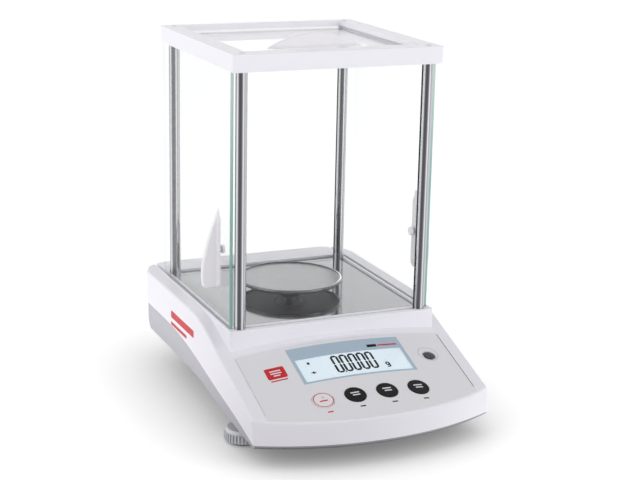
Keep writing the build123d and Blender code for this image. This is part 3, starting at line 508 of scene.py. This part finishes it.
def console_marks():
    """Plain red tile, key labels and painted shadow lines along the membrane's side edges."""
    face = skin("console_overlay")
    x, y = OVERLAY_LOW.x + 25.0 * MM, LCD_HIGH.y - 9.5 * MM
    printed("red_tile", [rounded(x, y, 16.4 * MM, 12.6 * MM, 1.6 * MM)], face, "red_ink")
    bars = [bar(x, y + lift * MM, length * MM, 1.2 * MM)
            for lift, length in ((2.4, 9.0), (-0.2, 9.0), (-2.8, 5.5))]
    printed("tile_bars", bars, face, "white_ink", height=1.6 * INK)
    printed("tile_underline", [bar(x, y - 8.4 * MM, 14.0 * MM, 1.3 * MM)], face, "red_ink")
    for index, key in enumerate(KEYS):
        spot = key_top(key)
        printed(f"{key}_label", [bar(spot.x + 0.6 * MM, spot.y - 12.9 * MM, 4.6 * MM, 1.3 * MM)], face,
                "dark_ink" if index else "red_ink")
    # Painted shadow: thin lines where the membrane's side edges shade the housing, dark on the right and
    # faint pink on the left.
    front, rear = OVERLAY_LOW.y + 24 * MM, OVERLAY_HIGH.y - 2 * MM
    inset = 0.5 * MM
    for side, x, ink, width in (("left", OVERLAY_LOW.x + inset, "pink_ink", 0.35 * MM),
                                ("right", OVERLAY_HIGH.x - inset, "dark_ink", 0.5 * MM)):
        printed(f"{side}_edge_shadow_line", [bar(x, (front + rear) / 2, width, rear - front)], face, ink)


def key_top(key):
    """Middle of a key's round top."""
    points = [vertex.co for vertex in NODES[key].data.vertices]
    highest = max(point.dot(CONSOLE_UP) for point in points)
    top = [point for point in points if point.dot(CONSOLE_UP) > highest - 2.5 * MM]
    return sum(top, Vector()) / len(top)


def key_marks():
    """Light bars on the black keys, red ring and bar on the white one."""
    for index, key in enumerate(KEYS):
        face = skin(key)
        spot = key_top(key)
        if index:
            bars = [bar(spot.x + shift * MM, spot.y + 0.7 * MM + lift * MM, length * MM, 1.15 * MM)
                    for shift, lift, length in ((0.0, 1.3, 7.4), (0.4, -1.3, 6.2))]
            printed(f"{key}_marks", bars, face, "white_ink", key)
        else:
            printed(f"{key}_ring", ring(spot.x, spot.y, 7.5 * MM, 8.2 * MM, 0.95), face, "red_ink", key)
            printed(f"{key}_mark", [bar(spot.x, spot.y - 1.0 * MM, 6.6 * MM, 1.3 * MM)], face, "red_ink", key)
            printed(f"{key}_symbol", ring(spot.x + 0.6 * MM, spot.y + 2.6 * MM, 0.6 * MM, 1.1 * MM, 1.0, 20),
                    face, "pink_ink", key)


def side_stripe():
    """Two plain red bars on the left side of the housing."""
    face = skin("top_housing")
    bars = [rounded(34.0 * MM, 62.5 * MM, 60.0 * MM, 6.4 * MM, 1.4 * MM),
            rounded(43.5 * MM, 54.2 * MM, 42.0 * MM, 3.0 * MM, 1.2 * MM)]
    printed("side_stripe", bars, face, "red_ink", inward=INWARD, reach=12 * MM)


# ---------------------------------------------------------------- spirit level
def turned(name, profile, centre, normal, material, body, steps=64):
    """Solid of revolution about a normal through a centre. The profile holds radius and height pairs."""
    mesh = bmesh.new()
    turn = Vector((0, 0, 1)).rotation_difference(normal).to_matrix()
    rings = []
    for radius, height in profile:
        if radius == 0:
            rings.append([mesh.verts.new(centre + turn @ Vector((0, 0, height)))])
        else:
            rings.append([mesh.verts.new(centre + turn @ Vector((radius * cos(2 * pi * i / steps),
                                                                 radius * sin(2 * pi * i / steps), height)))
                          for i in range(steps)])
    for low, high in zip(rings, rings[1:]):
        for i in range(steps):
            j = (i + 1) % steps
            corners = [low[i % len(low)], low[j % len(low)], high[j % len(high)], high[i % len(high)]]
            unique = list(dict.fromkeys(corners))
            mesh.faces.new(unique)
    bmesh.ops.recalc_face_normals(mesh, faces=mesh.faces[:])
    piece = add_piece(name, mesh, material, body)
    for polygon in piece.data.polygons:
        polygon.use_smooth = True
    return piece


def spirit_level():
    """Printed ring round the level, its domed lens and the target ring under the lens."""
    low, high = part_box("level_vial")
    centre = (low + high) / 2
    outline = ring(centre.x, centre.y, 8.2 * MM, 8.7 * MM, 0.95)
    printed("level_ring", outline, skin("console_overlay"), "pink_ink")
    face = centre + CONSOLE_UP * 4.1 * MM
    radius = 5.55 * MM
    lens = [(0, 0.75 * MM), (radius * 0.35, 0.70 * MM), (radius * 0.7, 0.48 * MM), (radius * 0.92, 0.2 * MM),
            (radius, 0.02 * MM), (0, 0.01 * MM)]
    turned("level_lens", lens, face, CONSOLE_UP, "window", "housing")
    target = [(2.6 * MM, 0.02 * MM), (2.9 * MM, 0.02 * MM), (2.9 * MM, 0.08 * MM), (2.6 * MM, 0.08 * MM),
              (2.6 * MM, 0.02 * MM)]
    turned("level_target", target, face, CONSOLE_UP, "dark_ink", "housing")


# ---------------------------------------------------------------- levelling wheels
def ribbed_wheel(side):
    """Hand wheel with deep upright ribs below a smooth shoulder, and its grooved stem."""
    node = f"{side}_levelling_wheel"
    low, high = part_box(node)
    centre = (low + high) / 2
    outer, ribs, rib_depth, thickness = (high.x - low.x) / 2 - 0.1 * MM, 34, 1.3 * MM, 10 * MM
    valley, top = outer - rib_depth, low.z + thickness
    mesh = bmesh.new()
    loops = []
    for height, inset in ((low.z + 0.05 * MM, 0.9 * MM), (low.z + 0.9 * MM, 0.0), (low.z + 6.8 * MM, 0.0),
                          (low.z + 7.6 * MM, rib_depth), (top, 2 * rib_depth)):
        loop = []
        for index in range(ribs):
            for share, radius in ((0.0, valley), (0.12, outer), (0.46, outer), (0.58, valley)):
                angle = 2 * pi * (index + share) / ribs
                reach = min(radius, outer - inset)
                x, y = centre.x + reach * cos(angle), centre.y + reach * sin(angle)
                loop.append(mesh.verts.new((x, y, height)))
        loops.append(loop)
    for lower, upper in zip(loops, loops[1:]):
        for index in range(len(lower)):
            following = (index + 1) % len(lower)
            mesh.faces.new((lower[index], lower[following], upper[following], upper[index]))
    mesh.faces.new(loops[0][::-1])
    mesh.faces.new(loops[-1])
    wheel = add_piece(f"{side}_wheel_grip", mesh, "wheel_plastic", f"{side}_foot")
    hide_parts(node)
    pitch, crest, root = 1.0 * MM, 3.95 * MM, 3.5 * MM
    profile = [(0, 0)]
    turns = int((high.z - top) / pitch)
    for turn in range(turns):
        profile += [(root, turn * pitch), (crest, (turn + 0.35) * pitch), (crest, (turn + 0.6) * pitch)]
    profile += [(root, turns * pitch - 0.01 * MM), (0, turns * pitch)]
    turned(f"{side}_wheel_stem", profile, Vector((centre.x, centre.y, top)), Vector((0, 0, 1)), "screw_steel",
           f"{side}_foot", steps=32)


# ---------------------------------------------------------------- floor, light, camera
# Painted shade: distances of the dark patch at the front left that only bounced light sees.
SHADING_PATCH_NEAR = (0.10, 0.19)
SHADING_PATCH_FAR = (0.5, 0.35)


def ground_material():
    """Near-white, faintly glowing sheet with a painted shadow near the object, where its colour and glow
    darken.
    Bounced light, but not the camera, finds a dark patch on it at the front left, which darkens the object's
    front."""
    # Painted shadow: ambient occlusion darkens the ground's colour near the object.
    mat = surface("ground", linear(251, 251, 251), 0.8, spread=0.004, drift=2.0, depth=0.02,
                  painted_shade=(90 * MM, 0.45), Emission_Color=(1, 1, 1, 1))
    tree = mat.node_tree
    shader = tree.nodes["Principled BSDF"]
    openness = next(n for n in tree.nodes if n.type == "AMBIENT_OCCLUSION").outputs["AO"]
    # Painted shadow: the glow dims where ambient occlusion finds the object near.
    tree.links.new(remap(tree, openness, target=(0.12, 0.38)), shader.inputs["Emission Strength"])
    # Painted shade: bounced light finds the ground dark here, so the object's front gets less light.
    distance = vector_arithmetic(tree, "DOT_PRODUCT", coordinate(tree, "Object"), FRONT_LEFT)
    shading_patch_mask = arithmetic(tree, "MULTIPLY", remap(tree, distance, SHADING_PATCH_NEAR), remap(tree, distance, SHADING_PATCH_FAR))
    bounced = tree.nodes.new("ShaderNodeLightPath").outputs["Is Diffuse Ray"]
    shading_patch = tree.nodes.new("ShaderNodeBsdfDiffuse")
    shading_patch.inputs["Color"].default_value = (0.08, 0.08, 0.09, 1)
    hidden = arithmetic(tree, "MULTIPLY", bounced, shading_patch_mask)
    whole = mixed_shader(tree, hidden, shader.outputs["BSDF"], shading_patch.outputs["BSDF"])
    tree.links.new(whole, tree.nodes["Material Output"].inputs["Surface"])
    return mat


def floor():
    """Plain pale ground."""
    half = 14.0
    mesh = bmesh.new()
    mesh.faces.new([mesh.verts.new((x * half, y * half, 0)) for x, y in ((-1, -1), (1, -1), (1, 1), (-1, 1))])
    data = bpy.data.meshes.new("ground")
    mesh.to_mesh(data)
    mesh.free()
    ground = bpy.data.objects.new("ground", data)
    bpy.context.scene.collection.objects.link(ground)
    data.materials.append(ground_material())


def sky():
    """White studio, bright at the horizon, and dimmer overhead and at the front left. The camera sees it as
    plain white."""
    world = bpy.data.worlds.new("studio")
    bpy.context.scene.world = world
    world.use_nodes = True
    tree = world.node_tree
    direction = coordinate(tree, "Generated")
    frontness = vector_arithmetic(tree, "DOT_PRODUCT", direction, FRONT_LEFT)
    dimming = remap(tree, frontness, (0.1, 0.8), (1.0, 0.85))
    overhead = remap(tree, component(tree, direction, "Z"), (0.1, 0.9), (1.5, 0.3))
    light = arithmetic(tree, "MULTIPLY", dimming, overhead)
    camera_ray = tree.nodes.new("ShaderNodeLightPath").outputs["Is Camera Ray"]
    background = tree.nodes["Background"]
    tree.links.new(blend(tree, "FLOAT", camera_ray, light, 1.06), background.inputs["Strength"])
    background.inputs["Color"].default_value = (1.0, 1.0, 1.0, 1.0)


def softbox(name, location, target, size, power):
    light = bpy.data.lights.new(name, "AREA")
    light.shape = "RECTANGLE"
    light.size, light.size_y = size
    light.energy = power
    lamp = bpy.data.objects.new(name, light)
    bpy.context.scene.collection.objects.link(lamp)
    lamp.location = location
    aim = Vector(target) - Vector(location)
    lamp.rotation_euler = aim.to_track_quat("-Z", "Y").to_euler()


def lights():
    sky()
    softbox("left_box", (-1.5, -0.1, 1.1), (0, 0, 0.12), (1.4, 1.6), 5)
    softbox("right_box", (1.2, -1.3, 0.9), (0, 0, 0.1), (1.0, 1.2), 4.5)
    softbox("top_box", (0.2, 0.3, 2.0), (0, 0, 0.1), (1.8, 1.8), 0.6)


def camera():
    """Long lens, above and to the left of the front."""
    yaw, pitch, roll = -0.41585, -0.268066, 0.021411
    forward = Vector((-sin(yaw) * cos(pitch), cos(yaw) * cos(pitch), sin(pitch)))
    level_right = Vector((cos(yaw), sin(yaw), 0))
    level_up = level_right.cross(forward)
    right = level_right * cos(roll) + level_up * sin(roll)
    up = level_up * cos(roll) - level_right * sin(roll)
    data = bpy.data.cameras.new("camera")
    data.sensor_width = 36.0
    data.lens = 84.09
    data.clip_end = 60
    view = bpy.data.objects.new("camera", data)
    bpy.context.scene.collection.objects.link(view)
    turn = Matrix((right, up, -forward)).transposed().to_4x4()
    view.matrix_world = Matrix.Translation((-0.48085, -1.10976, 0.46814)) @ turn
    bpy.context.scene.camera = view


dress_all()
display()
bezel_marks()
console_marks()
key_marks()
side_stripe()
spirit_level()
for side in ("left", "right"):
    ribbed_wheel(side)
floor()
lights()
camera()
bpy.context.scene.view_settings.view_transform = "Standard"
